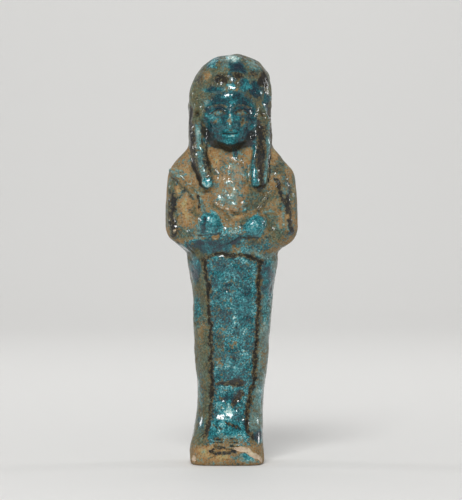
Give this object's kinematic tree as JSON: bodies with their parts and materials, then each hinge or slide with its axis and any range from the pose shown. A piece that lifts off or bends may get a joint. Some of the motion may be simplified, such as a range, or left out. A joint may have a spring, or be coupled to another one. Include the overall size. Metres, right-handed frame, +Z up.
{
  "type": "ushabti figurine",
  "caption": "Mummiform ushabti figurine in moulded, worn blue-green faience, arms crossed, standing upright on its own foot.",
  "frame": {"origin": "middle of the flat underside of the foot", "axes": "+Z up along the figure; the face looks along -Y; +X is to the right for someone facing it"},
  "size_m": [0.039, 0.0252, 0.12],
  "materials": {
    "glazed_faience": "worn blue-green glaze with black-brown painted lines, glossy where it lasts, matt tan body where it is lost"
  },
  "bodies": {
    "root": {"ushabti_figure": "glazed_faience"}
  },
  "joints": []
}
